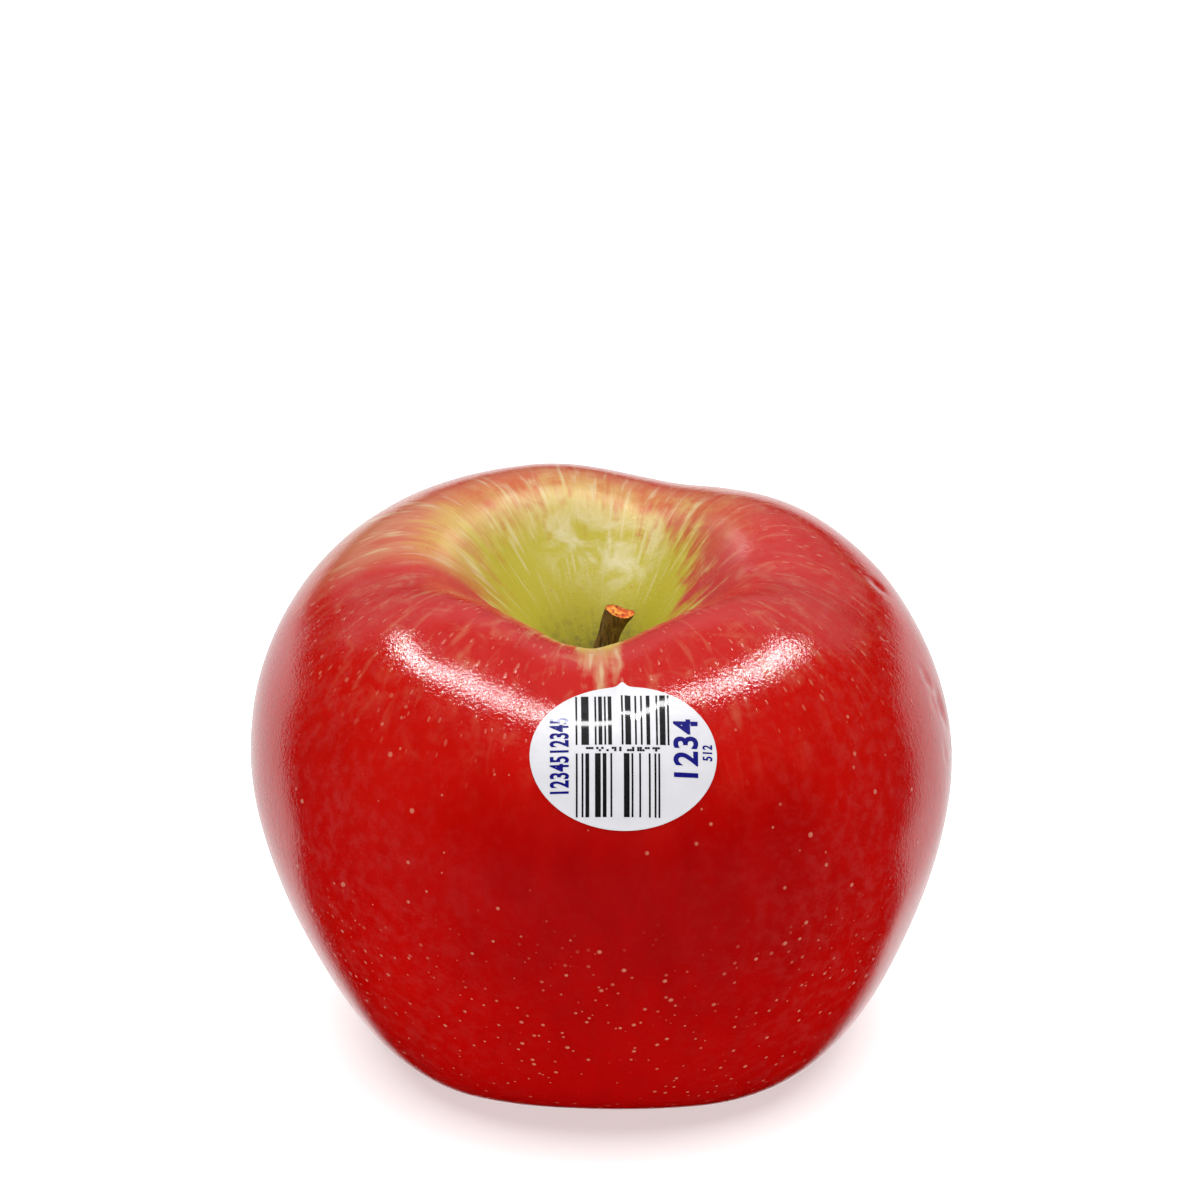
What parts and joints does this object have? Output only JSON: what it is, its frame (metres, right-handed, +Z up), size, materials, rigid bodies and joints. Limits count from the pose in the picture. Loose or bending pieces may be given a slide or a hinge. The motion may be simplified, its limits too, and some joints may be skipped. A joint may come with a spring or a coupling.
{
  "type": "apple",
  "caption": "Whole ripe red apple with a deep stem cavity, a short cut stem, an oval film label on its shoulder and a dried flower in its base. It stands on its lobed foot.",
  "frame": {"origin": "on the ground, under the middle of the fruit's box", "axes": "+Z up through the stem cavity, -Y to the front, where the label is, +X to the right as seen from the front"},
  "size_m": [0.0878, 0.0878, 0.0667],
  "materials": {
    "red_skin": "waxy gloss, red with a yellow-green cavity and pale dots",
    "stem_bark": "dull brown bark with a pale cut end",
    "label_film": "glossy white film with printed bars and plain figures",
    "dried_flower": "dull dry brown"
  },
  "bodies": {
    "root": {"fruit": "red_skin", "stem": "stem_bark", "sticker": "label_film", "sepal_1": "dried_flower", "sepal_2": "dried_flower", "sepal_3": "dried_flower", "sepal_4": "dried_flower", "sepal_5": "dried_flower", "stamen_tuft": "dried_flower"}
  },
  "joints": []
}
